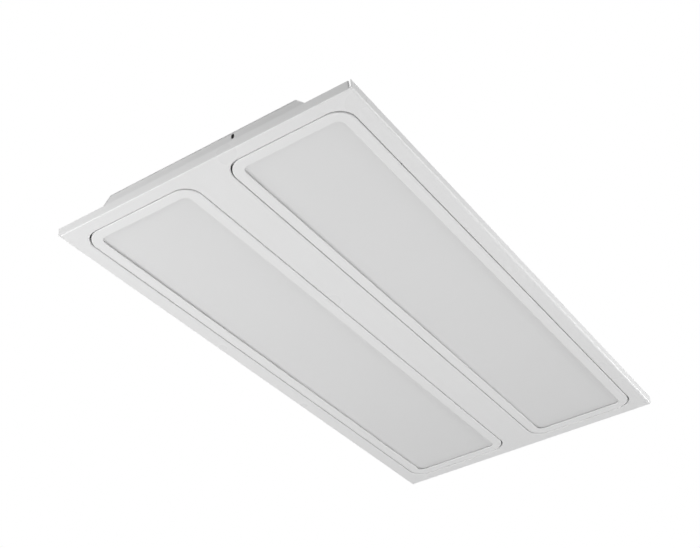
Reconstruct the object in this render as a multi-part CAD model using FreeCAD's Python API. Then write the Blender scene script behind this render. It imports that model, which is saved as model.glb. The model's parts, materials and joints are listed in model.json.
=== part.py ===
import FreeCAD, Part

import math
import os

# Recessed ceiling troffer with two opal windows, millimetres.
# Origin at the centre of the visible face, +Z up into the ceiling void, Y along the long side.
# The left half is modelled and mirrored in the YZ plane for the right half.

# ---- face frame, one folded steel sheet
face_width = 595.0
face_length = 1195.0
face_sheet = 1.0
flange_height = 17.5
side_bend_radius = 4.5
end_bend_radius = 1.8
corner_notch = 5.0
corner_tab_length = 3.8
corner_tab_top = 2.4
side_margin = 29.0
end_margin = 26.5
bar_width = 67.0
window_radius = 33.0
lip_height = 10.0
lip_edge_radius = 2.0

# ---- hinged trim frame round each diffuser
groove = 1.5
trim_width = 20.5
trim_wall = 2.0
trim_face = 1.2
trim_depth = 9.0
trim_edge_radius = 2.2
trim_inner_edge_radius = 0.9
trim_corner_radius = 35.0
trim_inner_corner_radius = 14.0
seat_height = 4.5
seat_width = 7.5
seat_setback = 3.5
diffuser_thickness = 2.0
diffuser_play = 0.5
gasket_width = 6.0
gasket_thickness = 1.0

# ---- door hinge and its catches
hinge_inset = 10.0
hinge_height = 3.2
hinge_pin_radius = 0.9
running_clearance = 0.05
hinge_eye_radius = 1.7
hinge_ear_thickness = 2.5
hinge_plate = 2.0
side_clearance = 0.3
hinge_spacing = 400.0
hinge_count = 3
hook_underside = 14.8
hook_top = 19.5
hook_foot_length = 14.0
hook_width = 5.2
pin_head_radius = 1.6
pin_head_thickness = 0.8
catch_spacing = 600.0
catch_width = 16.0
catch_blade = 1.0
catch_blade_top = 16.0
catch_gap = 0.6
catch_leaf = 0.6
catch_inset = 3.0
catch_foot = 8.0

# ---- diffuser clips
clip_pitch = 280.0
clips_per_side = 4
clip_length = 18.0
clip_sheet = 0.8
clip_inset = 5.5
clip_foot = 7.0
clip_overlap = 4.0
stud_radius = 1.5
stud_cap_radius = 2.6
stud_cap_height = 1.4

# ---- housing
housing_sheet = 0.7
housing_height = 45.0
shoulder_height = 26.0
slope_base_inset = 88.0
slope_top_inset = 107.0
housing_bend_radius = 3.0
end_setback = 10.0
end_plate_recess = 0.5
end_plate_foot = 7.5
end_plate_tuck = 13.0
end_slot_width = 6.0
end_slot_height = 10.0
end_slot_x = 67.0
end_slot_z = 37.0
slot_straight = 0.01
skirt_inset = 16.0
skirt_height = 17.0
skirt_foot = 8.5
shoulder_chamfer = 5.5
rivet_radius = 1.6
rivet_head_radius = 3.2
rivet_head_height = 1.0
rivet_tail = 1.2
rivet_spacing_x = 120.0
rivet_edge = 12.5

# ---- light chamber
tray_sheet = 0.6
tray_end_gap = 3.0
tray_wall_gap = 3.0
tray_foot = 9.0
tray_bend_radius = 2.0
reflector_sheet = 0.6
reflector_bottom = 11.5
reflector_slant = 6.0
reflector_flange = 9.0
board_width = 14.0
board_length = 520.0
board_thickness = 1.6
board_gap = 20.0
row_spacing = 96.0
led_size = 3.6
led_height = 0.9
led_count = 12
led_end = 22.0
board_screw_inset = 10.0
board_screw_radius = 1.3
board_screw_head = 2.6
board_screw_head_height = 1.3

# ---- gear over the middle bar
driver_width = 36.0
driver_length = 290.0
driver_height = 27.0
driver_base_thickness = 1.2
driver_ear = 18.0
driver_far_end = 90.0
driver_edge_radius = 2.0
driver_screw_radius = 2.0
driver_screw_head = 3.8
driver_screw_head_height = 2.2
plate_width = 120.0
plate_length = 130.0
plate_sheet = 1.0
gear_y = 210.0
terminal_length = 52.0
terminal_depth = 18.0
terminal_height = 13.0
terminal_ways = 5
terminal_entry_radius = 2.0
terminal_screw_radius = 2.2
terminal_screw_height = 1.0
earth_x = 46.0
earth_offset = 35.0
earth_stud_radius = 2.0
earth_stud_height = 12.0
earth_nut_flats = 7.0
earth_nut_height = 3.2
access_width = 100.0
access_length = 90.0
cover_overlap = 12.0
cover_sheet = 1.0
cover_corner = 6.0
cover_screw_inset = 6.0
cover_screw_radius = 2.0
cover_screw_head = 3.6
cover_screw_head_height = 2.0
cover_screw_length = 5.0
grommet_x = -26.0
grommet_hole_radius = 11.0
grommet_flange_radius = 14.0
grommet_flange = 2.0
cable_radius = 7.0
wire_radius = 1.2
output_cable_radius = 2.4
cable_hole_play = 0.6
wire_bend = 8.0
wire_pitch = 8.0

# ---- suspension holes and swing-out grid clips
hanger_spacing_x = 240.0
hanger_spacing_y = 900.0
hanger_radius = 3.5
grid_clip_x = 150.0
grid_clip_inset = 24.0
grid_clip_reach = 50.0
grid_clip_width = 20.0
grid_clip_sheet = 1.5
grid_clip_tab = 6.0
clip_lift = 0.3
pivot_radius = 3.0
pivot_head_radius = 5.5
pivot_head_height = 1.5

# ---- places that follow from the sizes above
half_width = face_width / 2
half_length = face_length / 2
window_width = half_width - side_margin - bar_width / 2
window_length = face_length - 2 * end_margin
window_x = -(bar_width / 2 + window_width / 2)
trim_edge_x = -(half_width - side_margin - groove)
trim_inner_x = -(bar_width / 2 + groove)
hinge_x = trim_edge_x + hinge_inset
seat_top = seat_height
diffuser_top = seat_top + diffuser_thickness
gasket_top = diffuser_top + gasket_thickness
roof_under = housing_height - housing_sheet
tray_top = shoulder_height - housing_sheet
tray_under = tray_top - tray_sheet
board_under = tray_under - board_thickness
hinge_places = [(i - (hinge_count - 1) / 2) * hinge_spacing for i in range(hinge_count)]
catch_places = [-catch_spacing / 2, catch_spacing / 2]
long_clip_places = [(i - (clips_per_side - 1) / 2) * clip_pitch for i in range(clips_per_side)]
end_face_y = half_length - end_setback
rivet_outer_x = half_width - slope_top_inset - rivet_edge
window_outline = (0, window_radius)
trim_outline = (groove, trim_corner_radius)
light_outline = (groove + trim_width, trim_inner_corner_radius)
diffuser_edge = seat_width - diffuser_play
diffuser_outline = (light_outline[0] - diffuser_edge, light_outline[1] + diffuser_edge)
same_place = 1e-3


def box(x0, x1, y0, y1, z0, z1):
    return Part.makeBox(x1 - x0, y1 - y0, z1 - z0, FreeCAD.Vector(x0, y0, z0))


def rod(radius, x, y, z0, z1):
    return Part.makeCylinder(radius, z1 - z0, FreeCAD.Vector(x, y, z0))


def holed(shape, cutters):
    return shape.cut(cutters[0].multiFuse(cutters[1:]))


def joined(first, *others):
    return first.multiFuse(list(others)).removeSplitter()


def rounded_wire(x, y, width, length, radius, z):
    """A rectangle with round corners, centred on x, y, at height z."""
    a, b = width / 2 - radius, length / 2 - radius
    corners = [(a, b, 0), (-a, b, 90), (-a, -b, 180), (a, -b, 270)]
    arcs = []
    for cx, cy, start in corners:
        circle = Part.Circle(FreeCAD.Vector(x + cx, y + cy, z), FreeCAD.Vector(0, 0, 1), radius)
        arcs.append(Part.Arc(circle, math.radians(start), math.radians(start + 90)))
    edges = []
    for arc, following in zip(arcs, arcs[1:] + arcs[:1]):
        edges.append(arc.toShape())
        edges.append(Part.LineSegment(arc.EndPoint, following.StartPoint).toShape())
    return Part.Wire(edges)


def rounded_block(x, y, width, length, radius, z0, z1):
    face = Part.Face(rounded_wire(x, y, width, length, radius, z0))
    return face.extrude(FreeCAD.Vector(0, 0, z1 - z0))


def drawn_in(outline, by):
    """An outline is how far it lies inside the window's edge, with its corner radius."""
    inset, radius = outline
    return (inset + by, radius - by)


def outline_wire(outline, z):
    inset, radius = outline
    return rounded_wire(window_x, 0, window_width - 2 * inset, window_length - 2 * inset, radius, z)


def outline_block(outline, z0, z1):
    return Part.Face(outline_wire(outline, z0)).extrude(FreeCAD.Vector(0, 0, z1 - z0))


def outline_band(outer, inner, z0, z1):
    return outline_block(outer, z0, z1).cut(outline_block(inner, z0 - 1, z1 + 1))


def folded_sides(points, sheet, bend_radius):
    """Both sides of a sheet folded along points, which follow its middle, as lists of edges.

    Each corner is an arc; bend_radius is the outside radius. Points are (a, b) pairs."""
    middle_radius = bend_radius - sheet / 2
    runs = []
    bends = []
    start = points[0]
    for before, corner, after in zip(points, points[1:], points[2:]):
        inward = unit(before, corner)
        onward = unit(corner, after)
        turn = math.atan2(cross(inward, onward), dot(inward, onward))
        reach = middle_radius * math.tan(abs(turn) / 2)
        bend_start = (corner[0] - inward[0] * reach, corner[1] - inward[1] * reach)
        bend_end = (corner[0] + onward[0] * reach, corner[1] + onward[1] * reach)
        runs.append((start, bend_start))
        bends.append((bend_start, bend_end, inward, turn))
        start = bend_end
    runs.append((start, points[-1]))
    sides = []
    for offset in (sheet / 2, -sheet / 2):
        edges = []
        for index, (p, q) in enumerate(runs):
            along = unit(p, q)
            normal = (-along[1] * offset, along[0] * offset)
            edges.append(("line", shifted(p, normal), shifted(q, normal)))
            if index < len(bends):
                edges.append(bend_edge(bends[index], middle_radius, offset))
        sides.append(edges)
    return sides


def unit(p, q):
    length = math.hypot(q[0] - p[0], q[1] - p[1])
    return ((q[0] - p[0]) / length, (q[1] - p[1]) / length)


def cross(p, q):
    return p[0] * q[1] - p[1] * q[0]


def dot(p, q):
    return p[0] * q[0] + p[1] * q[1]


def shifted(p, by):
    return (p[0] + by[0], p[1] + by[1])


def bend_edge(bend, middle_radius, offset):
    """The arc of one bend on the side at offset, as its start, middle and end."""
    bend_start, bend_end, inward, turn = bend
    side = math.copysign(1, turn)
    centre = (bend_start[0] - inward[1] * side * middle_radius,
              bend_start[1] + inward[0] * side * middle_radius)
    radius = middle_radius - side * offset
    first = math.atan2(bend_start[1] - centre[1], bend_start[0] - centre[0])
    angles = (first, first + turn / 2, first + turn)
    spots = [(centre[0] + radius * math.cos(a), centre[1] + radius * math.sin(a)) for a in angles]
    return ("arc", *spots)


def wire_of(edges, place):
    """A closed wire through edges in order; straight runs close any gap between them."""
    shapes = []
    for index, edge in enumerate(edges):
        spots = [place(*p) for p in edge[1:]]
        if edge[0] == "arc":
            shapes.append(Part.Arc(*spots).toShape())
        else:
            shapes.append(Part.LineSegment(*spots).toShape())
        following = place(*edges[(index + 1) % len(edges)][1])
        if spots[-1].distanceToPoint(following) > 1e-6:
            shapes.append(Part.LineSegment(spots[-1], following).toShape())
    return Part.Wire(shapes)


def reversed_edges(edges):
    return [(edge[0], *reversed(edge[1:])) for edge in reversed(edges)]


def along_y(y):
    return lambda a, b: FreeCAD.Vector(a, y, b)


def along_x(x):
    return lambda a, b: FreeCAD.Vector(x, a, b)


def along_z(z):
    return lambda a, b: FreeCAD.Vector(a, b, z)


def folded_sheet(points, sheet, bend_radius, place, run):
    """A sheet folded along points in the plane that place gives, extruded by the vector run."""
    left, right = folded_sides(points, sheet, bend_radius)
    wire = wire_of(left + reversed_edges(right), place)
    return Part.Face(wire).extrude(run)


def polygon(points, place, run):
    spots = [place(*p) for p in points]
    return Part.Face(Part.makePolygon(spots + spots[:1])).extrude(run)


def mirrored(shape):
    return shape.mirror(FreeCAD.Vector(0, 0, 0), FreeCAD.Vector(1, 0, 0))


def turned(shape):
    """The same piece at the other end, half a turn round Z."""
    copy = shape.copy()
    copy.rotate(FreeCAD.Vector(0, 0, 0), FreeCAD.Vector(0, 0, 1), 180)
    return copy


def edges_on(shape, outline, z):
    """The shape's edges that follow an outline at height z, round either window."""
    found = []
    for edge in shape.Edges:
        level = max(abs(edge.BoundBox.ZMin - z), abs(edge.BoundBox.ZMax - z)) < same_place
        middle = edge.valueAt((edge.FirstParameter + edge.LastParameter) / 2)
        x = abs(middle.x) - abs(window_x)
        if level and abs(distance_in(outline, x, middle.y)) < same_place:
            found.append(edge)
    return found


def distance_in(outline, dx, dy):
    """How far a point lies inside an outline; negative outside it."""
    inset, radius = outline
    a = abs(dx) - (window_width / 2 - inset - radius)
    b = abs(dy) - (window_length / 2 - inset - radius)
    if a > 0 and b > 0:
        return radius - math.hypot(a, b)
    return radius - max(a, b)


# ---------------------------------------------------------------- face frame
def end_flange():
    """The upstand along one short side, with its two tabs bent in at the ends."""
    middle = face_sheet / 2
    root = half_length - end_bend_radius - face_sheet
    reach = half_width - corner_notch
    tab_start = reach - 2 * end_bend_radius
    points = [(-root, middle), (-(half_length - middle), middle), (-(half_length - middle), flange_height)]
    run = FreeCAD.Vector(2 * tab_start, 0, 0)
    flange = folded_sheet(points, face_sheet, end_bend_radius, along_x(-tab_start), run)
    tab_low = end_bend_radius + face_sheet / 2
    line = [(-(reach - middle), -(half_length - corner_tab_length)),
            (-(reach - middle), -(half_length - middle)),
            (-tab_start, -(half_length - middle))]
    rise = FreeCAD.Vector(0, 0, flange_height - tab_low)
    tab = folded_sheet(line, face_sheet, end_bend_radius, along_z(tab_low), rise)
    slant = [(-(half_length - corner_tab_top), flange_height + 1),
             (-(half_length - corner_tab_length - 1), flange_height + 1),
             (-(half_length - corner_tab_length - 1), tab_low),
             (-(half_length - corner_tab_length), tab_low),
             (-(half_length - corner_tab_top), flange_height)]
    tab = tab.cut(polygon(slant, along_x(-half_width), FreeCAD.Vector(half_width - tab_start + 1, 0, 0)))
    return joined(flange, tab, mirrored(tab))


def face_frame():
    middle = face_sheet / 2
    edge = half_width - middle
    points = [(-edge, flange_height), (-edge, middle), (edge, middle), (edge, flange_height)]
    run = FreeCAD.Vector(0, face_length, 0)
    sheet = folded_sheet(points, face_sheet, side_bend_radius, along_y(-half_length), run)
    root = half_length - end_bend_radius - face_sheet
    reach = half_width - corner_notch
    for sign in (-1, 1):
        y0, y1 = sorted((sign * root, sign * (half_length + 1)))
        sheet = sheet.cut(box(-reach, reach, y0, y1, -1, flange_height + 1))
    flange = end_flange()
    sheet = joined(sheet, flange, turned(flange))
    opening = outline_block(window_outline, -1, lip_height + 1)
    lip = outline_band(drawn_in(window_outline, -face_sheet), window_outline, 0, lip_height)
    sheet = sheet.cut(opening).cut(mirrored(opening))
    sheet = joined(sheet, lip, mirrored(lip))
    sheet = sheet.makeFillet(lip_edge_radius, edges_on(sheet, window_outline, 0))
    back_outline = drawn_in(window_outline, -face_sheet)
    return sheet.makeFillet(lip_edge_radius - face_sheet, edges_on(sheet, back_outline, face_sheet))


# ---------------------------------------------------------------- hinged door
def hinge_ear(y0):
    """A lug from the ring's outer wall to the hinge pin."""
    ear = box(trim_edge_x + trim_wall, hinge_x, y0, y0 + hinge_ear_thickness,
              trim_face, hinge_height + hinge_eye_radius)
    axis = FreeCAD.Vector(0, 1, 0)
    centre = FreeCAD.Vector(hinge_x, y0, hinge_height)
    eye = Part.makeCylinder(hinge_eye_radius, hinge_ear_thickness, centre, axis)
    bore = Part.makeCylinder(hinge_pin_radius, hinge_ear_thickness, centre, axis)
    foot = box(hinge_x - hinge_eye_radius, hinge_x + hinge_eye_radius, y0, y0 + hinge_ear_thickness,
               trim_face, hinge_height)
    return ear.fuse(eye).fuse(foot).cut(bore)


def clip_spots():
    """Where the diffuser clips sit: x, y and the angle that each one's tongue points to."""
    spots = []
    inset_x = window_width / 2 - groove - clip_inset
    inset_y = window_length / 2 - groove - clip_inset
    for y in long_clip_places:
        spots.append((window_x - inset_x, y, 0))
        spots.append((window_x + inset_x, y, 180))
    spots.append((window_x, -inset_y, 90))
    spots.append((window_x, inset_y, 270))
    return spots


def trim_frame():
    """A rounded ring whose thin inner edge stands proud of the ledge that carries the diffuser."""
    face = outline_band(trim_outline, light_outline, 0, trim_face)
    outer = outline_band(trim_outline, drawn_in(trim_outline, trim_wall), 0, trim_depth)
    ledge = drawn_in(light_outline, -seat_setback)
    inner = outline_band(drawn_in(ledge, -trim_wall), ledge, 0, seat_top)
    seat = outline_band(drawn_in(light_outline, -seat_width), ledge, seat_top - trim_face, seat_top)
    frame = joined(face, outer, inner, seat)
    frame = frame.makeFillet(trim_edge_radius, edges_on(frame, trim_outline, 0))
    frame = frame.makeFillet(trim_inner_edge_radius, edges_on(frame, light_outline, 0))
    parts = []
    inner_face = hinge_plate / 2 + side_clearance
    for y in hinge_places:
        notch = box(trim_edge_x - 1, trim_edge_x + trim_wall + 1, y - inner_face, y + inner_face,
                    trim_face, trim_depth + 1)
        frame = frame.cut(notch)
        parts.append(hinge_ear(y + inner_face))
        parts.append(hinge_ear(y - inner_face - hinge_ear_thickness))
    return joined(frame, *parts)


def hinge_pins():
    inner_face = hinge_plate / 2 + side_clearance
    reach = inner_face + hinge_ear_thickness
    pins = []
    for y in hinge_places:
        axis = FreeCAD.Vector(0, 1, 0)
        shank = Part.makeCylinder(hinge_pin_radius, 2 * reach + pin_head_thickness,
                                  FreeCAD.Vector(hinge_x, y - reach, hinge_height), axis)
        head = Part.makeCylinder(pin_head_radius, pin_head_thickness,
                                 FreeCAD.Vector(hinge_x, y - reach - pin_head_thickness, hinge_height), axis)
        pins.append(shank.fuse(head).removeSplitter())
    return Part.makeCompound(pins)


def hinge_brackets():
    """Gooseneck plates on the face sheet's back that reach over the lip to the hinge pins."""
    foot_x = trim_edge_x - groove - face_sheet - lip_edge_radius
    back = foot_x - hook_width
    brackets = []
    for y in hinge_places:
        side = y - hinge_plate / 2
        outline = [(back, face_sheet), (foot_x, face_sheet), (foot_x, hook_underside),
                   (hinge_x - hinge_eye_radius, hook_underside), (hinge_x - hinge_eye_radius, hinge_height),
                   (hinge_x + hinge_eye_radius, hinge_height), (hinge_x + hinge_eye_radius, hook_top),
                   (back, hook_top)]
        plate = polygon(outline, along_y(side), FreeCAD.Vector(0, hinge_plate, 0))
        centre = FreeCAD.Vector(hinge_x, side, hinge_height)
        axis = FreeCAD.Vector(0, 1, 0)
        eye = Part.makeCylinder(hinge_eye_radius, hinge_plate, centre, axis)
        bore = Part.makeCylinder(hinge_pin_radius + running_clearance, hinge_plate, centre, axis)
        foot = box(back, foot_x, side, side + hook_foot_length, face_sheet, face_sheet + hinge_plate)
        brackets.append(plate.fuse(eye).fuse(foot).removeSplitter().cut(bore))
    return Part.makeCompound(brackets)


def diffuser():
    return outline_block(diffuser_outline, seat_top, diffuser_top)


def diffuser_gasket():
    return outline_band(diffuser_outline, drawn_in(diffuser_outline, gasket_width), diffuser_top, gasket_top)


def diffuser_clips():
    """Folded strips, held by studs on the trim frame's back, whose tongues hold the gasket down."""
    base = trim_face
    back = -clip_foot / 2
    step = clip_foot / 2
    tongue = trim_width - seat_width + diffuser_play - clip_inset + clip_overlap
    middle = clip_sheet / 2
    line = [(back, base + middle), (step, base + middle), (step, gasket_top + middle),
            (tongue, gasket_top + middle)]
    run = FreeCAD.Vector(0, clip_length, 0)
    clips = []
    for x, y, angle in clip_spots():
        clip = folded_sheet(line, clip_sheet, clip_sheet * 1.5, along_y(-clip_length / 2), run)
        clip = clip.cut(rod(stud_radius, 0, 0, base - 1, base + clip_sheet + 1))
        clip.rotate(FreeCAD.Vector(0, 0, 0), FreeCAD.Vector(0, 0, 1), angle)
        clip.translate(FreeCAD.Vector(x, y, 0))
        clips.append(clip)
    return Part.makeCompound(clips)


def clip_studs():
    """Studs that stand on the trim frame's back, with a push-on cap over each clip's foot."""
    base = trim_face + clip_sheet
    studs = []
    for x, y, angle in clip_spots():
        shank = rod(stud_radius, x, y, trim_face, base + stud_cap_height)
        cap = rod(stud_cap_radius, x, y, base, base + stud_cap_height)
        studs.append(shank.fuse(cap).removeSplitter())
    return Part.makeCompound(studs)


def catch_blades():
    """Angle strips on the door's free side that push up into the spring clips."""
    right = trim_inner_x - catch_inset
    left = right - catch_foot
    middle = catch_blade / 2
    line = [(left, trim_face + middle), (right - middle, trim_face + middle), (right - middle, catch_blade_top)]
    run = FreeCAD.Vector(0, catch_width, 0)
    blades = []
    for y in catch_places:
        blades.append(folded_sheet(line, catch_blade, catch_blade * 1.5, along_y(y - catch_width / 2), run))
    return Part.makeCompound(blades)


def catch_clips():
    """Spring clips under the tray; the door's blades slide up between their two leaves."""
    right = trim_inner_x - catch_inset
    outer = right + catch_gap + catch_leaf / 2
    inner = right - catch_blade - catch_gap - catch_leaf / 2
    bottom = trim_depth + 1
    line = [(inner, bottom), (inner, tray_under - catch_leaf / 2), (outer, tray_under - catch_leaf / 2),
            (outer, bottom)]
    run = FreeCAD.Vector(0, catch_width, 0)
    clips = []
    for y in catch_places:
        clips.append(folded_sheet(line, catch_leaf, catch_leaf * 1.5, along_y(y - catch_width / 2), run))
    return Part.makeCompound(clips)


# ---------------------------------------------------------------- housing
def wall_line():
    """The middle of the housing's sheet, from one skirt's foot over the roof to the other."""
    middle = housing_sheet / 2
    skirt_x = half_width - skirt_inset - middle
    half = [(-skirt_x, face_sheet), (-skirt_x, skirt_height),
            (-(skirt_x - shoulder_chamfer), shoulder_height - middle),
            (-(half_width - slope_base_inset), shoulder_height - middle),
            (-(half_width - slope_top_inset), housing_height - middle)]
    return half + [(-x, z) for x, z in reversed(half)]


def shell_line():
    """The same line with a foot turned outward along each skirt, on the face sheet's back."""
    walls = wall_line()
    level = face_sheet + housing_sheet / 2
    skirt_x = walls[-1][0]
    tip = skirt_x + skirt_foot
    return [(-tip, level), (-skirt_x, level)] + walls[1:-1] + [(skirt_x, level), (tip, level)]


def inside_of_shell(y0, y1):
    """The space under the housing's sheet, down to the face sheet's back."""
    inner = folded_sides(wall_line(), housing_sheet, housing_bend_radius)[1]
    wire = wire_of(inner, along_y(y0))
    return Part.Face(wire).extrude(FreeCAD.Vector(0, y1 - y0, 0))


def grid_clip_places():
    y = end_face_y - grid_clip_inset
    return [(-grid_clip_x, -y), (grid_clip_x, -y), (-grid_clip_x, y), (grid_clip_x, y)]


def rivet_places():
    y = end_face_y - end_plate_recess - end_plate_tuck / 2 - housing_sheet
    across = (-rivet_outer_x, -rivet_spacing_x / 2, rivet_spacing_x / 2, rivet_outer_x)
    return [(x, sign * y) for sign in (-1, 1) for x in across]


def cover_screw_places():
    x = access_width / 2 + cover_screw_inset
    y = access_length / 2 + cover_screw_inset
    return [(sx * x, gear_y + sy * y) for sx in (-1, 1) for sy in (-1, 1)]


def driver_screw_places():
    near = driver_far_end + driver_ear / 2
    far = driver_far_end - driver_length - driver_ear / 2
    return [(0, near), (0, far)]


def housing_shell():
    run = FreeCAD.Vector(0, 2 * end_face_y, 0)
    shell = folded_sheet(shell_line(), housing_sheet, housing_bend_radius, along_y(-end_face_y), run)
    low, high = roof_under - 1, housing_height + 1
    cuts = [rounded_block(0, gear_y, access_width, access_length, cover_corner, low, high)]
    for sx in (-1, 1):
        for sy in (-1, 1):
            cuts.append(rod(hanger_radius, sx * hanger_spacing_x / 2, sy * hanger_spacing_y / 2, low, high))
    cuts += [rod(pivot_radius, x, y, low, high) for x, y in grid_clip_places()]
    cuts += [rod(rivet_radius, x, y, low, high) for x, y in rivet_places()]
    cuts += [rod(cover_screw_radius, x, y, low, high) for x, y in cover_screw_places()]
    cuts += [rod(driver_screw_radius, x, y, low, high) for x, y in driver_screw_places()]
    return holed(shell, cuts)


def end_plate():
    """The folded plate that closes one end: foot on the face sheet, upper edge tucked under the roof."""
    middle = housing_sheet / 2
    wall = -(end_face_y - end_plate_recess - middle)
    line = [(wall - end_plate_foot, face_sheet + middle), (wall, face_sheet + middle),
            (wall, roof_under - middle), (wall + end_plate_tuck, roof_under - middle)]
    run = FreeCAD.Vector(face_width, 0, 0)
    sheet = folded_sheet(line, housing_sheet, housing_bend_radius / 2, along_x(-half_width), run)
    plate = sheet.common(inside_of_shell(-half_length, 0))
    holes = [rod(rivet_radius, x, y, 0, housing_height) for x, y in rivet_places() if y < 0]
    slot = rounded_block(0, 0, end_slot_width, end_slot_height, end_slot_width / 2 - slot_straight,
                         0, end_setback * 2)
    slot.rotate(FreeCAD.Vector(0, 0, 0), FreeCAD.Vector(1, 0, 0), 90)
    slot.translate(FreeCAD.Vector(end_slot_x, -half_length + end_setback * 2, end_slot_z))
    return holed(plate, holes + [slot])


def end_plate_rivets():
    rivets = []
    for x, y in rivet_places():
        shank = rod(rivet_radius, x, y, roof_under - housing_sheet - rivet_tail, housing_height)
        top = rod(rivet_head_radius, x, y, housing_height, housing_height + rivet_head_height)
        rivets.append(shank.fuse(top).removeSplitter())
    return Part.makeCompound(rivets)


# ---------------------------------------------------------------- light chamber
def board_spots():
    """Centre of each light board of the left window."""
    y = board_gap / 2 + board_length / 2
    return [(window_x + sx * row_spacing / 2, sy * y) for sx in (-1, 1) for sy in (-1, 1)]


def board_screw_places():
    reach = board_length / 2 - board_screw_inset
    return [(x, y + sign * reach) for x, y in board_spots() for sign in (-1, 1)]


def led_tray():
    """The white sheet over one window that carries the light boards."""
    middle = tray_sheet / 2
    outer = -(half_width - skirt_inset - shoulder_chamfer - housing_sheet - tray_wall_gap)
    wall = -(bar_width / 2 - face_sheet - tray_wall_gap)
    line = [(outer, tray_top - middle), (wall, tray_top - middle), (wall, face_sheet + middle),
            (wall + tray_foot, face_sheet + middle)]
    half = end_face_y - end_plate_recess - housing_sheet - tray_end_gap
    run = FreeCAD.Vector(0, 2 * half, 0)
    tray = folded_sheet(line, tray_sheet, tray_bend_radius, along_y(-half), run)
    cuts = [rod(board_screw_radius, x, y, tray_under - 1, tray_top + 1) for x, y in board_screw_places()]
    cuts.append(rod(output_cable_radius + cable_hole_play, *cable_drop(), tray_under - 1, tray_top + 1))
    return holed(tray, cuts)


def slanted_block(low_outline, high_outline):
    wires = [outline_wire(low_outline, reflector_bottom), outline_wire(high_outline, tray_under)]
    return Part.makeLoft(wires, True, True)


def reflector_frame():
    """Slanted white walls between the boards and the diffuser, with a flange under the tray."""
    top_outline = drawn_in(light_outline, reflector_slant)
    walls = slanted_block(light_outline, top_outline)
    sheet = reflector_sheet
    hollow = slanted_block(drawn_in(light_outline, sheet), drawn_in(top_outline, sheet))
    hole_outline = (top_outline[0] + reflector_flange, top_outline[1])
    flange = outline_band(top_outline, hole_outline, tray_under - sheet, tray_under)
    return joined(walls.cut(hollow), flange.common(walls))


def led_board(x, y):
    board = box(x - board_width / 2, x + board_width / 2, y - board_length / 2, y + board_length / 2,
                board_under, tray_under)
    pitch = (board_length - 2 * led_end) / (led_count - 1)
    leds = []
    for i in range(led_count):
        centre = y - board_length / 2 + led_end + i * pitch
        leds.append(box(x - led_size / 2, x + led_size / 2, centre - led_size / 2, centre + led_size / 2,
                        board_under - led_height, board_under))
    board = joined(board, *leds)
    reach = board_length / 2 - board_screw_inset
    for sign in (-1, 1):
        board = board.cut(rod(board_screw_radius, x, y + sign * reach, board_under - 1, tray_under + 1))
    return board


def board_screws():
    screws = []
    for x, y in board_screw_places():
        shank = rod(board_screw_radius, x, y, board_under, tray_top)
        head = rod(board_screw_head, x, y, board_under - board_screw_head_height, board_under)
        screws.append(shank.fuse(head).removeSplitter())
    return Part.makeCompound(screws)


# ---------------------------------------------------------------- gear
def driver_base():
    start = driver_far_end - driver_length - driver_ear
    length = driver_length + 2 * driver_ear
    base = rounded_block(0, start + length / 2, driver_width, length, driver_edge_radius,
                         roof_under - driver_base_thickness, roof_under)
    for x, y in driver_screw_places():
        base = base.cut(rod(driver_screw_radius, x, y, roof_under - 5, roof_under + 1))
    return base


def driver_case():
    top = roof_under - driver_base_thickness
    width = driver_width - 2 * driver_edge_radius
    case = box(-width / 2, width / 2, driver_far_end - driver_length, driver_far_end, top - driver_height, top)
    long_edges = [e for e in case.Edges if e.BoundBox.YLength > driver_length / 2 and e.BoundBox.ZMax < top]
    return case.makeFillet(driver_edge_radius, long_edges)


def driver_screws():
    screws = []
    under = roof_under - driver_base_thickness
    for x, y in driver_screw_places():
        shank = rod(driver_screw_radius, x, y, under, housing_height)
        head = rod(driver_screw_head, x, y, under - driver_screw_head_height, under)
        screws.append(shank.fuse(head).removeSplitter())
    return Part.makeCompound(screws)


def terminal_plate():
    plate = rounded_block(0, gear_y, plate_width, plate_length, cover_corner, tray_top, tray_top + plate_sheet)
    stud = rod(earth_stud_radius, earth_x, gear_y + earth_offset, tray_top, tray_top + plate_sheet)
    return plate.cut(stud)


def terminal_spots():
    pitch = terminal_length / terminal_ways
    return [(i - (terminal_ways - 1) / 2) * pitch for i in range(terminal_ways)]


def terminal_block():
    base = tray_top + plate_sheet
    y0 = gear_y - access_length / 2 + terminal_depth / 2
    block = box(-terminal_length / 2, terminal_length / 2, y0, y0 + terminal_depth, base, base + terminal_height)
    top_edges = [e for e in block.Edges if e.BoundBox.ZMin > base + 1 and e.BoundBox.XLength > 1]
    block = block.makeChamfer(terminal_depth / 6, top_edges)
    middle = base + terminal_height / 2
    for x in terminal_spots():
        start = FreeCAD.Vector(x, y0 - 1, middle)
        entry = Part.makeCylinder(terminal_entry_radius, terminal_depth + 2, start, FreeCAD.Vector(0, 1, 0))
        block = block.cut(entry)
    return block


def terminal_screws():
    top = tray_top + plate_sheet + terminal_height
    y = gear_y - access_length / 2 + terminal_depth
    return Part.makeCompound([rod(terminal_screw_radius, x, y, top, top + terminal_screw_height)
                              for x in terminal_spots()])


def earth_stud():
    return rod(earth_stud_radius, earth_x, gear_y + earth_offset, tray_top, tray_top + earth_stud_height)


def earth_nut():
    base = tray_top + plate_sheet
    y = gear_y + earth_offset
    corner = earth_nut_flats / math.sqrt(3)
    points = [(earth_x + corner * math.cos(math.radians(60 * i)), y + corner * math.sin(math.radians(60 * i)))
              for i in range(6)]
    nut = polygon(points, along_z(base), FreeCAD.Vector(0, 0, earth_nut_height))
    return nut.cut(rod(earth_stud_radius, earth_x, y, base - 1, base + earth_nut_height + 1))


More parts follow.
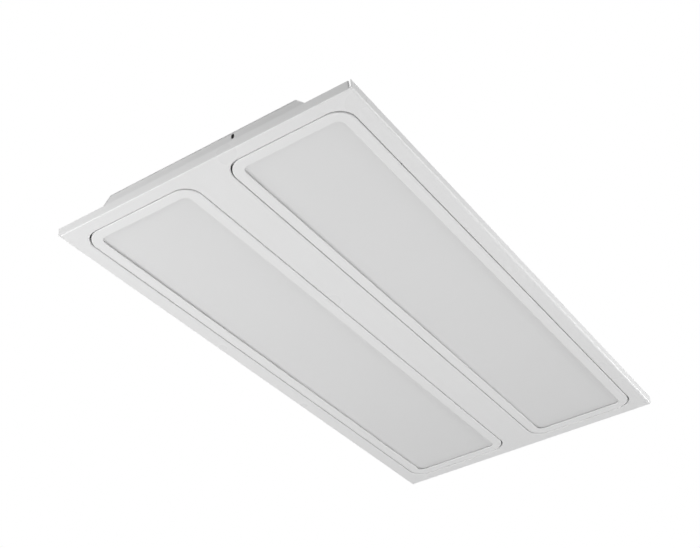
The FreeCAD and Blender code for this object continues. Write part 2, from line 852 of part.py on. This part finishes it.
def wiring_cover():
    top = housing_height + cover_sheet
    cover = rounded_block(0, gear_y, access_width + 2 * cover_overlap, access_length + 2 * cover_overlap,
                          cover_corner, housing_height, top)
    holes = [rod(cover_screw_radius, x, y, housing_height - 1, top + 1) for x, y in cover_screw_places()]
    holes.append(rod(grommet_hole_radius, grommet_x, gear_y, housing_height - 1, top + 1))
    return holed(cover, holes)


def cover_screws():
    base = housing_height + cover_sheet
    screws = []
    for x, y in cover_screw_places():
        shank = rod(cover_screw_radius, x, y, base - cover_screw_length, base)
        head = rod(cover_screw_head, x, y, base, base + cover_screw_head_height)
        screws.append(shank.fuse(head).removeSplitter())
    return Part.makeCompound(screws)


def cable_grommet():
    """A rubber bush, grooved to grip the cover's edge, round the hole for the supply cable."""
    low, high = housing_height, housing_height + cover_sheet
    profile = [(cable_radius, low - grommet_flange), (grommet_flange_radius, low - grommet_flange),
               (grommet_flange_radius, low), (grommet_hole_radius, low), (grommet_hole_radius, high),
               (grommet_flange_radius, high), (grommet_flange_radius, high + grommet_flange),
               (cable_radius, high + grommet_flange)]
    spots = [FreeCAD.Vector(r, 0, z) for r, z in profile]
    face = Part.Face(Part.makePolygon(spots + spots[:1]))
    ring = face.revolve(FreeCAD.Vector(0, 0, 0), FreeCAD.Vector(0, 0, 1), 360)
    ring.translate(FreeCAD.Vector(grommet_x, gear_y, 0))
    return ring


# ---------------------------------------------------------------- wires
def tube(points, radius):
    """A round wire along straight runs joined by tangent arcs."""
    spots = [FreeCAD.Vector(*p) for p in points]
    edges = []
    start = spots[0]
    for before, corner, after in zip(spots, spots[1:], spots[2:]):
        inward = (corner - before).normalize()
        onward = (after - corner).normalize()
        half_turn = inward.getAngle(onward) / 2
        reach = wire_bend * math.tan(half_turn)
        first = corner - inward * reach
        last = corner + onward * reach
        to_centre = (onward - inward).normalize()
        top = corner + to_centre * (wire_bend / math.cos(half_turn) - wire_bend)
        edges.append(Part.LineSegment(start, first).toShape())
        edges.append(Part.Arc(first, top, last).toShape())
        start = last
    edges.append(Part.LineSegment(start, spots[-1]).toShape())
    path = Part.Wire(edges)
    circle = Part.Circle(spots[0], spots[1] - spots[0], radius)
    section = Part.Wire([circle.toShape()])
    return path.makePipeShell([section], True, False)


def cable_drop():
    """Where the left window's output cable goes down through the tray, between two boards."""
    return (window_x + row_spacing / 2, 0)


def output_cable():
    """One sheathed two-core cable from the driver to the left window's boards."""
    start_y = driver_far_end - driver_length
    level = tray_top + driver_height / 3
    x, y = cable_drop()
    lead_y = start_y - 2 * wire_pitch
    lead_x = -wire_pitch / 2
    return tube([(lead_x, start_y, level), (lead_x, lead_y, level), (x, lead_y, level),
                 (x, y, level), (x, y, board_under)], output_cable_radius)


def mains_wires():
    block_y = gear_y - access_length / 2 + terminal_depth / 2
    level = tray_top + plate_sheet + terminal_height / 2
    spots = terminal_spots()
    straight = wire_bend * 1.5
    wires = []
    for x in (spots[1], spots[3]):
        route = [(x, block_y, level), (x, block_y - straight, level),
                 (x / 2, driver_far_end + straight, level), (x / 2, driver_far_end, level)]
        wires.append(tube(route, wire_radius))
    return Part.makeCompound(wires)


# ---------------------------------------------------------------- grid clips
def grid_clip(x, y):
    """A swing-out arm that holds the fitting down over the ceiling grid, stowed along the end."""
    low = housing_height + clip_lift
    high = low + grid_clip_sheet
    half = grid_clip_width / 2
    side = -math.copysign(1, x)
    tip = x + side * grid_clip_reach
    x0, x1 = sorted((x, tip))
    arm = box(x0, x1, y - half, y + half, low, high)
    arm = arm.fuse(rod(half, x, y, low, high))
    tab_x0, tab_x1 = sorted((tip, tip - side * grid_clip_sheet))
    tab = box(tab_x0, tab_x1, y - half, y + half, low, high + grid_clip_tab)
    arm = arm.fuse(tab).removeSplitter()
    return arm.cut(rod(pivot_radius + running_clearance, x, y, low - 1, high + 1))


def clip_pivots():
    low = housing_height + 2 * clip_lift + grid_clip_sheet
    pivots = []
    for x, y in grid_clip_places():
        shank = rod(pivot_radius, x, y, roof_under, low)
        top = rod(pivot_head_radius, x, y, low, low + pivot_head_height)
        tail = rod(pivot_head_radius, x, y, roof_under - pivot_head_height, roof_under)
        pivots.append(joined(shank, top, tail))
    return Part.makeCompound(pivots)


def one_side():
    """Every piece that the left half has and the right half mirrors."""
    pieces = {
        "led_tray": led_tray(),
        "reflector_frame": reflector_frame(),
        "board_screws": board_screws(),
        "trim_frame": trim_frame(),
        "diffuser": diffuser(),
        "diffuser_gasket": diffuser_gasket(),
        "diffuser_clips": diffuser_clips(),
        "clip_studs": clip_studs(),
        "hinge_pins": hinge_pins(),
        "hinge_brackets": hinge_brackets(),
        "catch_blades": catch_blades(),
        "catch_clips": catch_clips(),
        "output_cable": output_cable(),
    }
    for index, (x, y) in enumerate(board_spots()):
        pieces[f"led_board_{index + 1}"] = led_board(x, y)
    return pieces


def whole():
    near_plate = end_plate()
    pieces = {
        "face_frame": face_frame(),
        "housing_shell": housing_shell(),
        "end_plate_near": near_plate,
        "end_plate_far": turned(near_plate),
        "end_plate_rivets": end_plate_rivets(),
        "driver_base": driver_base(),
        "driver_case": driver_case(),
        "driver_screws": driver_screws(),
        "terminal_plate": terminal_plate(),
        "terminal_block": terminal_block(),
        "terminal_screws": terminal_screws(),
        "earth_stud": earth_stud(),
        "earth_nut": earth_nut(),
        "wiring_cover": wiring_cover(),
        "cover_screws": cover_screws(),
        "cable_grommet": cable_grommet(),
        "mains_wires": mains_wires(),
        "clip_pivots": clip_pivots(),
    }
    for index, (x, y) in enumerate(grid_clip_places()):
        pieces[f"grid_clip_{index + 1}"] = grid_clip(x, y)
    for name, shape in one_side().items():
        pieces[name + "_left"] = shape
        pieces[name + "_right"] = mirrored(shape)
    return pieces


os.makedirs("parts", exist_ok=True)
for name, shape in whole().items():
    shape.exportStep(f"parts/{name}.step")
    print(name, len(shape.Solids), "solids", round(shape.Volume), "mm3", shape.isValid())
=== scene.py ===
import json
import math

import bmesh
import bpy
from mathutils import Matrix, Vector

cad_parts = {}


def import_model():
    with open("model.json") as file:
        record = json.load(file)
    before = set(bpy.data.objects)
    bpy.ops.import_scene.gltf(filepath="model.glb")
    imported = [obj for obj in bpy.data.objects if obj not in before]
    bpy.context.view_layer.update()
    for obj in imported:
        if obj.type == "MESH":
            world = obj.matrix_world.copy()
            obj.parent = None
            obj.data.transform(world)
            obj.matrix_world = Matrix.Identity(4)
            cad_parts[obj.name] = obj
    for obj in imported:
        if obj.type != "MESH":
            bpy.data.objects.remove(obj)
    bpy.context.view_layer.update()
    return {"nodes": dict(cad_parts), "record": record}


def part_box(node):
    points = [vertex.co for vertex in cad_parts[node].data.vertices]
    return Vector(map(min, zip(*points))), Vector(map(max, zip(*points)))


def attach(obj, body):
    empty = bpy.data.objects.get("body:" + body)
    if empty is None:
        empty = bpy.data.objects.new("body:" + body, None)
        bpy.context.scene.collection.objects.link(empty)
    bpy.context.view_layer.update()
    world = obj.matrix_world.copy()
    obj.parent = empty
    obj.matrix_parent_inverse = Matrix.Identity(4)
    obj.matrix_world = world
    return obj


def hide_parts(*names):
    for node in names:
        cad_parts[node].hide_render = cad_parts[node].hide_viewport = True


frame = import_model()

nodes = frame["nodes"]

MM = 0.001
WELD = 0.001 * MM

# The slow drifts of tone and gloss over powder coat and opal, as the size of their patches
COAT_TONE_DRIFT, COAT_GLOSS_DRIFT = 0.16, 0.12
OPAL_TONE_DRIFT, OPAL_GLOSS_DRIFT = 0.22, 0.06

# The lights on their boards, and what is printed round them
LED_COUNT = 12
LED_END = 22 * MM
LED_HEIGHT = 0.9 * MM
LED_EDGE = 0.1 * LED_HEIGHT
DISC_RADIUS = 1.40 * MM
DISC_EDGE = 0.15 * MM
TRACK_OFFSET = 3.4 * MM
TRACK_WIDTH = 1.0 * MM
TRACK_EDGE = 0.1 * MM
TRACK_SHADE = 0.06
PRINT_RELIEF = 0.03 * MM

# Fastener heads: how fine their mesh is, and their recesses as shares of the head's radius or height
HEAD_RINGS = 12
HEAD_SECTORS = 40
HEAD_SHARP_ANGLE = 40
CROSS_ARM = 0.62
CROSS_HALF_WIDTH = 0.17
MANDREL_PIT = 0.36
RECESS_EDGE = 0.10
RECESS_DEPTH = 0.7

# The face sheet's folds and corners; bends are outside radii, as in the CAD model
FACE_SHEET = 1.0 * MM
SIDE_BEND, END_BEND = 4.5 * MM, 1.8 * MM
CORNER_NOTCH = 5.0 * MM
NOTCH_FLOOR = 3.2 * MM
ARC_STEPS = 10
WEB_SHARP_ANGLE = 25

# Stage and camera
CENTRE = Vector((0, 0, 0))
FLOOR_Z = -6.0
FLOOR_SIZE = 200.0
IMAGE_WIDTH, IMAGE_HEIGHT = 700, 548
SENSOR = 36.0


# ---------------------------------------------------------------- shader helpers
class Shader:
    """One material's node tree, built with short calls."""

    def __init__(self, name):
        self.material = bpy.data.materials.new(name)
        self.material.use_nodes = True
        self.tree = self.material.node_tree
        self.bsdf = self.tree.nodes["Principled BSDF"]
        self.place = self.node("ShaderNodeTexCoord").outputs["Object"]

    def node(self, kind, **values):
        made = self.tree.nodes.new(kind)
        for key, value in values.items():
            setattr(made, key, value)
        return made

    def link(self, source, target):
        self.tree.links.new(source, target)

    def set(self, **values):
        """Values that are the same all over the surface, on the shader's own sockets."""
        for key, value in values.items():
            self.bsdf.inputs[key.replace("_", " ")].default_value = value

    def noise(self, size, detail=2.0, place=None):
        """A 3-D noise whose grains are about size metres across."""
        texture = self.node("ShaderNodeTexNoise")
        texture.inputs["Scale"].default_value = 1 / size
        texture.inputs["Detail"].default_value = detail
        self.link(place or self.place, texture.inputs["Vector"])
        return texture.outputs["Fac"]

    def cells(self, size, output="Color"):
        """Voronoi cells about size metres across."""
        texture = self.node("ShaderNodeTexVoronoi")
        texture.inputs["Scale"].default_value = 1 / size
        self.link(self.place, texture.inputs["Vector"])
        return texture.outputs[output]

    def stretched(self, x, y, z):
        """Places scaled along each axis; a share below 1 draws a texture out that way."""
        mapping = self.node("ShaderNodeMapping")
        mapping.inputs["Scale"].default_value = (x, y, z)
        self.link(self.place, mapping.inputs["Vector"])
        return mapping.outputs["Vector"]

    def ramp(self, value, low, high, start=0.3, end=0.7):
        """Maps value from start..end to low..high, and holds it there beyond them."""
        made = self.node("ShaderNodeMapRange")
        made.inputs["From Min"].default_value = start
        made.inputs["From Max"].default_value = end
        made.inputs["To Min"].default_value = low
        made.inputs["To Max"].default_value = high
        self.link(value, made.inputs["Value"])
        return made.outputs["Result"]

    def math(self, operation, first, second=None):
        """One operation on sockets or numbers."""
        made = self.node("ShaderNodeMath", operation=operation)
        for index, value in enumerate((first, second)):
            if isinstance(value, (int, float)):
                made.inputs[index].default_value = value
            elif value is not None:
                self.link(value, made.inputs[index])
        return made.outputs["Value"]

    def mirrored(self, value, distance):
        """How far value lies beyond distance, on either side of zero."""
        return self.math("SUBTRACT", self.math("ABSOLUTE", value), distance)

    def axes(self):
        parts = self.node("ShaderNodeSeparateXYZ")
        self.link(self.place, parts.inputs["Vector"])
        return parts.outputs["X"], parts.outputs["Y"], parts.outputs["Z"]

    def mix(self, factor, first, second):
        """A colour between two, each three numbers or a socket."""
        made = self.node("ShaderNodeMix", data_type="RGBA")
        self.link(factor, made.inputs["Factor"])
        for key, value in (("A", first), ("B", second)):
            if isinstance(value, tuple):
                made.inputs[key].default_value = (*value, 1)
            else:
                self.link(value, made.inputs[key])
        return made.outputs["Result"]

    def shades(self, value, colour, spread):
        """A colour that goes with value from a little darker to a little lighter."""
        darker = tuple(c - spread for c in colour)
        lighter = tuple(min(1.0, c + spread) for c in colour)
        return self.mix(value, darker, lighter)

    def colour(self, socket):
        self.link(socket, self.bsdf.inputs["Base Color"])

    def rough(self, socket):
        self.link(socket, self.bsdf.inputs["Roughness"])

    def bump(self, height, depth, strength=1.0, after=None):
        """depth is the relief's real height in metres."""
        made = self.node("ShaderNodeBump")
        made.inputs["Strength"].default_value = strength
        made.inputs["Distance"].default_value = depth
        self.link(height, made.inputs["Height"])
        if after:
            self.link(after, made.inputs["Normal"])
        self.link(made.outputs["Normal"], self.bsdf.inputs["Normal"])
        return made.outputs["Normal"]


# ---------------------------------------------------------------- materials
def powder_coat(name, colour, gloss, peel=2.2 * MM, relief=0.0003 * MM):
    """Baked white powder: slow drifts of tone and gloss, and a fine orange peel."""
    s = Shader(name)
    s.set(Specular_IOR_Level=0.3)
    s.colour(s.shades(s.noise(COAT_TONE_DRIFT, 3), colour, 0.012))
    s.rough(s.ramp(s.noise(COAT_GLOSS_DRIFT, 2), gloss - 0.02, gloss + 0.02, 0, 1))
    coarse = s.bump(s.noise(peel, 0), relief)
    s.bump(s.noise(peel / 6, 0), relief / 12, after=coarse)
    return s.material


def opal(name, colour):
    """Opal acrylic with a satin surface."""
    s = Shader(name)
    s.set(IOR=1.49, Specular_IOR_Level=0.3)
    s.colour(s.shades(s.noise(OPAL_TONE_DRIFT, 2), colour, 0.010))
    s.rough(s.ramp(s.noise(OPAL_GLOSS_DRIFT, 2), 0.39, 0.45, 0, 1))
    s.bump(s.noise(0.5 * MM, 2), 0.002 * MM)
    return s.material


def galvanised(name, colour, spangle=9 * MM):
    """Zinc-coated sheet, whose spangles differ in tone and gloss."""
    s = Shader(name)
    s.set(Metallic=1.0)
    grey = s.node("ShaderNodeRGBToBW")
    s.link(s.cells(spangle), grey.inputs["Color"])
    s.colour(s.shades(grey.outputs["Val"], colour, 0.05))
    s.rough(s.ramp(grey.outputs["Val"], 0.30, 0.46, 0, 1))
    s.bump(s.noise(2 * MM, 3), 0.004 * MM)
    return s.material


def rolled(name, colour, roughness, along="y"):
    """Metal strip with fine lines along one way."""
    s = Shader(name)
    s.set(Metallic=1.0)
    stretch = {"y": (1, 0.05, 1), "z": (1, 1, 0.05)}[along]
    lines = s.noise(0.5 * MM, 3, place=s.stretched(*stretch))
    s.colour(s.shades(s.ramp(lines, 0, 1), colour, 0.04))
    s.rough(s.ramp(lines, roughness - 0.05, roughness + 0.07))
    s.bump(lines, 0.003 * MM)
    return s.material


def moulded(name, colour, roughness, grain=0.6 * MM, relief=0.006 * MM):
    """Plastic or rubber with the fine grain of its mould."""
    s = Shader(name)
    s.colour(s.shades(s.ramp(s.noise(12 * MM, 2), 0, 1), colour, 0.015))
    s.rough(s.ramp(s.noise(grain * 3, 2), roughness - 0.05, roughness + 0.05))
    s.bump(s.noise(grain, 3), relief)
    return s.material


def foam(name, colour):
    """Closed-cell foam with small round cells."""
    s = Shader(name)
    s.set(Roughness=0.9)
    s.colour(s.shades(s.ramp(s.noise(1.5 * MM, 3), 0, 1), colour, 0.03))
    s.bump(s.cells(0.7 * MM, "Distance"), 0.08 * MM, strength=0.6)
    return s.material


def light_board(name, colour, phosphor):
    """White solder mask over faint tracks, with a yellow phosphor disc in each light's face."""
    s = Shader(name)
    low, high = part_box("led_board_1_left")
    other_low, other_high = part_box("led_board_3_left")
    row, other_row = abs(low.x + high.x) / 2, abs(other_low.x + other_high.x) / 2
    middle_x, reach_x = (row + other_row) / 2, abs(row - other_row) / 2
    first_y = min(abs(low.y), abs(high.y)) + LED_END
    pitch = (high.y - low.y - 2 * LED_END) / (LED_COUNT - 1)
    x, y, z = s.axes()
    from_row = s.mirrored(s.mirrored(x, middle_x), reach_x)
    shifted = s.math("ADD", s.mirrored(y, first_y), pitch / 2)
    from_light = s.math("SUBTRACT", s.math("FLOORED_MODULO", shifted, pitch), pitch / 2)
    squares = s.math("ADD", s.math("POWER", from_row, 2), s.math("POWER", from_light, 2))
    radius = s.math("SQRT", squares)
    half_way = low.z + LED_HEIGHT / 2
    on_light = s.ramp(z, 1, 0, half_way - LED_EDGE, half_way)
    disc = s.math("MULTIPLY", on_light, s.ramp(radius, 1, 0, DISC_RADIUS - DISC_EDGE, DISC_RADIUS))
    off_track = s.math("ABSOLUTE", s.mirrored(from_row, TRACK_OFFSET))
    track = s.ramp(off_track, 1, 0, TRACK_WIDTH / 2, TRACK_WIDTH / 2 + TRACK_EDGE)
    track = s.math("MULTIPLY", track, s.math("SUBTRACT", 1.0, on_light))
    mask = s.shades(s.ramp(s.noise(14 * MM, 2), 0, 1), colour, 0.012)
    tracked = s.mix(track, mask, tuple(c - TRACK_SHADE for c in colour))
    s.colour(s.mix(disc, tracked, phosphor))
    s.rough(s.ramp(s.noise(2 * MM, 2), 0.30, 0.38))
    fine = s.bump(s.noise(0.3 * MM, 2), 0.001 * MM)
    s.bump(s.math("SUBTRACT", track, disc), PRINT_RELIEF, after=fine)
    return s.material


MATERIALS = {
    "face_paint": powder_coat("face_paint", (0.86, 0.86, 0.86), 0.28),
    "trim_paint": powder_coat("trim_paint", (0.875, 0.875, 0.875), 0.26),
    "housing_paint": powder_coat("housing_paint", (0.84, 0.84, 0.84), 0.45),
    "reflector_paint": powder_coat("reflector_paint", (0.90, 0.90, 0.89), 0.6),
    "opal_acrylic": opal("opal_acrylic", (0.80, 0.80, 0.80)),
    "gasket_foam": foam("gasket_foam", (0.72, 0.72, 0.71)),
    "board_white": light_board("board_white", (0.88, 0.88, 0.86), (0.82, 0.66, 0.16)),
    "zinc_steel": galvanised("zinc_steel", (0.55, 0.56, 0.57)),
    "spring_steel": rolled("spring_steel", (0.45, 0.46, 0.48), 0.3),
    "driver_shell": rolled("driver_shell", (0.74, 0.74, 0.75), 0.38),
    "bright_fasteners": rolled("bright_fasteners", (0.72, 0.72, 0.73), 0.28, along="z"),
    "terminal_plastic": moulded("terminal_plastic", (0.86, 0.86, 0.83), 0.45),
    "mains_insulation": moulded("mains_insulation", (0.30, 0.33, 0.42), 0.4),
    "output_insulation": moulded("output_insulation", (0.55, 0.07, 0.05), 0.4),
    "grommet_rubber": moulded("grommet_rubber", (0.035, 0.035, 0.036), 0.6, 1.2 * MM, 0.02 * MM),
    "brass_plate": rolled("brass_plate", (0.72, 0.55, 0.25), 0.3, along="z"),
}


def dress_nodes():
    """Each CAD node takes its slot's material."""
    slots = {row["node"]: row["material_slot"] for row in frame["record"]["subparts"]}
    for name, node in nodes.items():
        node.data.materials.clear()
        node.data.materials.append(MATERIALS[slots[name]])


def fixed_piece(name, mesh, slot, sharp_angle):
    """A piece of the fixed body from a finished mesh, smooth but for edges over sharp_angle degrees."""
    data = bpy.data.meshes.new(name)
    mesh.to_mesh(data)
    mesh.free()
    for face in data.polygons:
        face.use_smooth = True
    data.set_sharp_from_angle(angle=math.radians(sharp_angle))
    data.materials.append(MATERIALS[slot])
    made = bpy.data.objects.new(name, data)
    bpy.context.scene.collection.objects.link(made)
    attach(made, "root")
    return made


# ---------------------------------------------------------------- modelled fasteners
def solids(node):
    """The lowest and highest corner of each separate solid of a CAD node, in a steady order."""
    mesh = bmesh.new()
    mesh.from_mesh(nodes[node].data)
    bmesh.ops.remove_doubles(mesh, verts=mesh.verts, dist=WELD)
    unseen = set(mesh.verts)
    boxes = []
    for first in mesh.verts:
        if first not in unseen:
            continue
        unseen.remove(first)
        group = [first]
        for vert in group:
            for edge in vert.link_edges:
                other = edge.other_vert(vert)
                if other in unseen:
                    unseen.remove(other)
                    group.append(other)
        low = Vector([min(v.co[axis] for v in group) for axis in range(3)])
        high = Vector([max(v.co[axis] for v in group) for axis in range(3)])
        boxes.append((low, high))
    mesh.free()
    return sorted(boxes, key=lambda box: tuple(round(value / MM, 1) for value in box[0]))


def soft_step(value, width):
    """0 below zero, 1 above width, and a smooth rise between."""
    share = min(1.0, max(0.0, value / width))
    return share * share * (3 - 2 * share)


def cross_recess(radius):
    """A driver's cross, as how deep each point of a head lies, from 0 to 1."""
    arm, half, soft = CROSS_ARM * radius, CROSS_HALF_WIDTH * radius, RECESS_EDGE * radius

    def sunk(x, y):
        along_x = soft_step(half - abs(y), soft) * soft_step(arm - abs(x), soft)
        along_y = soft_step(half - abs(x), soft) * soft_step(arm - abs(y), soft)
        return max(along_x, along_y)
    return sunk


def mandrel_hole(radius):
    """The round pit that a blind rivet's mandrel leaves in its head."""
    pit, soft = MANDREL_PIT * radius, RECESS_EDGE * radius
    return lambda x, y: soft_step(pit - math.hypot(x, y), soft)


def turned_head(mesh, seat, up, head, shank, length, sunk, depth, dome):
    """A fastener on its seat: head is (radius, height), up is +1 or -1, and length runs into the seat."""
    radius, height = head
    rings = []
    for step in range(1, HEAD_RINGS + 1):
        r = radius * step / HEAD_RINGS
        level = height * (1 - dome * (r / radius) ** 3)
        rings.append([(r, level)] * HEAD_SECTORS)
    side = [(radius, 0.0), (shank, 0.0), (shank, -length)]
    rings += [[spot] * HEAD_SECTORS for spot in side]
    rows = []
    for index, ring in enumerate(rings):
        row = []
        for sector, (r, level) in enumerate(ring):
            angle = 2 * math.pi * sector / HEAD_SECTORS
            x, y = r * math.cos(angle), r * math.sin(angle)
            if index < HEAD_RINGS - 1:
                level -= depth * sunk(x, y)
            row.append(mesh.verts.new(seat + Vector((x, y * up, level * up))))
        rows.append(row)
    middle = mesh.verts.new(seat + Vector((0, 0, (height - depth * sunk(0, 0)) * up)))
    for sector in range(HEAD_SECTORS):
        following = (sector + 1) % HEAD_SECTORS
        mesh.faces.new((middle, rows[0][sector], rows[0][following]))
        for inner, outer in zip(rows, rows[1:]):
            mesh.faces.new((inner[sector], outer[sector], outer[following], inner[following]))
    mesh.faces.new(list(reversed(rows[-1])))


def fasteners(node, up, head_height, shank, recess, dome=0.45):
    """Detailed heads in place of a CAD node's plain ones, each on its own solid's seat."""
    mesh = bmesh.new()
    for low, high in solids(node):
        radius = (high.x - low.x) / 2
        tip = high.z if up > 0 else low.z
        seat = Vector(((low.x + high.x) / 2, (low.y + high.y) / 2, tip - up * head_height))
        length = high.z - low.z - head_height
        turned_head(mesh, seat, up, (radius, head_height), shank, length, recess(radius),
                    RECESS_DEPTH * head_height, dome)
    made = fixed_piece(node + "_detail", mesh, "bright_fasteners", HEAD_SHARP_ANGLE)
    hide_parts(node)


def all_fasteners():
    fasteners("cover_screws", 1, head_height=2.0 * MM, shank=2.0 * MM, recess=cross_recess)
    fasteners("end_plate_rivets", 1, head_height=1.0 * MM, shank=1.6 * MM, recess=mandrel_hole, dome=0.6)
    for side in ("left", "right"):
        fasteners("board_screws_" + side, -1, head_height=1.3 * MM, shank=1.3 * MM, recess=cross_recess)


# ---------------------------------------------------------------- the face sheet's corners
def prism(mesh, outline, shift):
    """A closed prism: outline is a list of points, carried along shift."""
    low = [mesh.verts.new(point) for point in outline]
    high = [mesh.verts.new(point + shift) for point in outline]
    for a, b, c, d in zip(low, low[1:] + low[:1], high[1:] + high[:1], high):
        mesh.faces.new((a, b, c, d))
    mesh.faces.new(list(reversed(low)))
    mesh.faces.new(high)


def quarter(centre, radius, first, last):
    """Points on an arc, its angles in degrees, as pairs."""
    turns = [math.radians(first + (last - first) * i / ARC_STEPS) for i in range(ARC_STEPS + 1)]
    return [(centre[0] + radius * math.cos(t), centre[1] + radius * math.sin(t)) for t in turns]


def corner(mesh, half_x, half_y, sign_x, sign_y, top):
    """Carries the short side's fold on to the corner, with a web up to the height top."""
    reach = half_x - CORNER_NOTCH
    start = reach - 2 * END_BEND
    tab_foot = END_BEND + FACE_SHEET / 2
    root = half_y - END_BEND - FACE_SHEET
    centre = (half_y - END_BEND, END_BEND)
    fold = [(root, 0)] + quarter(centre, END_BEND, -90, 0)
    fold += [(half_y, tab_foot), (half_y - FACE_SHEET, tab_foot)]
    fold += quarter(centre, END_BEND - FACE_SHEET, 0, -90) + [(root, FACE_SHEET)]
    points = [Vector((sign_x * start, sign_y * y, z)) for y, z in fold]
    prism(mesh, points, Vector((sign_x * (reach - start), 0, 0)))
    side = (half_x - SIDE_BEND, SIDE_BEND)
    curve = [(x, z) for x, z in quarter(side, SIDE_BEND - FACE_SHEET, -90, 0) if z < top]
    web = [(reach - END_BEND, tab_foot), (reach, tab_foot), (reach, FACE_SHEET)] + curve
    web += [(web[-1][0], top), (reach - END_BEND, top)]
    points = [Vector((sign_x * x, sign_y * half_y, z)) for x, z in web]
    prism(mesh, points, Vector((0, -sign_y * FACE_SHEET, 0)))


def corner_webs():
    """The near left corner and the one across from it are closed; the other two keep an open notch."""
    low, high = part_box("face_frame")
    mesh = bmesh.new()
    for sign_x in (-1, 1):
        for sign_y in (-1, 1):
            top = high.z if sign_x == sign_y else NOTCH_FLOOR
            corner(mesh, high.x, high.y, sign_x, sign_y, top)
    bmesh.ops.recalc_face_normals(mesh, faces=mesh.faces)
    fixed_piece("corner_webs", mesh, "face_paint", WEB_SHARP_ANGLE)


# ---------------------------------------------------------------- stage, light and camera
def background(tree, shader, whiteness=1.0):
    """White, to the share whiteness, for the camera and for rays off gloss and through glass.

    All other rays get shader."""
    path = tree.nodes.new("ShaderNodeLightPath")
    white = tree.nodes.new("ShaderNodeEmission")
    white.inputs["Color"].default_value = (1, 1, 1, 1)
    seen = path.outputs["Is Camera Ray"]
    for kind in ("Is Glossy Ray", "Is Transmission Ray"):
        either = tree.nodes.new("ShaderNodeMath")
        either.operation = "MAXIMUM"
        tree.links.new(seen, either.inputs[0])
        tree.links.new(path.outputs[kind], either.inputs[1])
        seen = either.outputs["Value"]
    share = tree.nodes.new("ShaderNodeMath")
    share.operation = "MULTIPLY"
    share.inputs[1].default_value = whiteness
    tree.links.new(seen, share.inputs[0])
    mix = tree.nodes.new("ShaderNodeMixShader")
    tree.links.new(share.outputs["Value"], mix.inputs["Fac"])
    tree.links.new(shader, mix.inputs[1])
    tree.links.new(white.outputs["Emission"], mix.inputs[2])
    return mix.outputs["Shader"]


def world(strength):
    """An even white light from all round."""
    made = bpy.data.worlds.new("studio")
    bpy.context.scene.world = made
    made.use_nodes = True
    tree = made.node_tree
    plain = tree.nodes["Background"]
    plain.inputs["Color"].default_value = (1, 1, 1, 1)
    plain.inputs["Strength"].default_value = strength
    output = tree.nodes["World Output"]
    tree.links.new(background(tree, plain.outputs["Background"]), output.inputs["Surface"])


def plane(name, size, location):
    mesh = bpy.data.meshes.new(name)
    half = size / 2
    corners = [(-half, -half, 0), (half, -half, 0), (half, half, 0), (-half, half, 0)]
    mesh.from_pydata(corners, [], [(0, 1, 2, 3)])
    made = bpy.data.objects.new(name, mesh)
    made.location = location
    bpy.context.scene.collection.objects.link(made)
    return made


def softbox(name, location, size, watts, shine=True):
    """A soft lamp aimed at the fitting; without shine it lights surfaces but is not mirrored in them."""
    lamp = bpy.data.lights.new(name, "AREA")
    lamp.shape = "RECTANGLE"
    lamp.size, lamp.size_y = size
    lamp.energy = watts
    made = bpy.data.objects.new(name, lamp)
    made.location = location
    made.rotation_euler = (CENTRE - Vector(location)).to_track_quat("-Z", "Y").to_euler()
    made.visible_camera = False
    made.visible_glossy = shine
    bpy.context.scene.collection.objects.link(made)


def stage():
    """A wide pale floor that keeps a faint share of the fitting's shadow."""
    floor = plane("floor", FLOOR_SIZE, (0, 0, FLOOR_Z))
    s = Shader("pale_floor")
    s.set(Roughness=0.8, Base_Color=(0.82, 0.82, 0.82, 1))
    shown = background(s.tree, s.bsdf.outputs["BSDF"], whiteness=0.8)
    s.link(shown, s.tree.nodes["Material Output"].inputs["Surface"])
    floor.data.materials.append(s.material)


def lights():
    """A low even level, a wide panel below, soft lamps low down for the folded edges, one above."""
    world(0.25)
    softbox("below", (0, -0.2, -2.2), (2.5, 2.5), 24.8)
    softbox("lower_left", (-1.2, -1.2, -1.2), (0.8, 0.8), 7.6)
    softbox("near_left", (-1.0, -1.73, -0.17), (0.8, 0.8), 11.2)
    softbox("right_strip", (1.3, 0, -0.2), (0.4, 2.0), 3.1)
    softbox("far_right", (2.59, 1.49, -0.26), (0.8, 0.8), 24)
    softbox("far", (1.49, 2.59, -0.26), (0.8, 0.8), 11.5)
    softbox("above", (0, 0, 2.6), (0.6, 1.2), 40, shine=False)


def camera():
    """The camera that matches the photograph, from the face's outline in it."""
    focal_pixels = 1261.8
    centre_x, centre_y = 302.0, 276.8
    place = (0.95477, -1.79692, -1.34054)
    right = Vector((0.82393, 0.56484, -0.04587))
    down = Vector((-0.36398, 0.46542, -0.80679))
    ahead = Vector((-0.43436, 0.68143, 0.58906))
    data = bpy.data.cameras.new("camera")
    data.sensor_width = SENSOR
    data.lens = focal_pixels / IMAGE_WIDTH * SENSOR
    data.shift_x = (IMAGE_WIDTH / 2 - centre_x) / IMAGE_WIDTH
    data.shift_y = (centre_y - IMAGE_HEIGHT / 2) / IMAGE_WIDTH
    data.clip_start, data.clip_end = 0.05, 500
    made = bpy.data.objects.new("camera", data)
    turn = Matrix((right, -down, -ahead)).transposed().to_4x4()
    made.matrix_world = Matrix.Translation(Vector(place)) @ turn
    bpy.context.scene.collection.objects.link(made)
    bpy.context.scene.camera = made


dress_nodes()
all_fasteners()
corner_webs()
stage()
lights()
camera()
bpy.context.scene.view_settings.view_transform = "Standard"
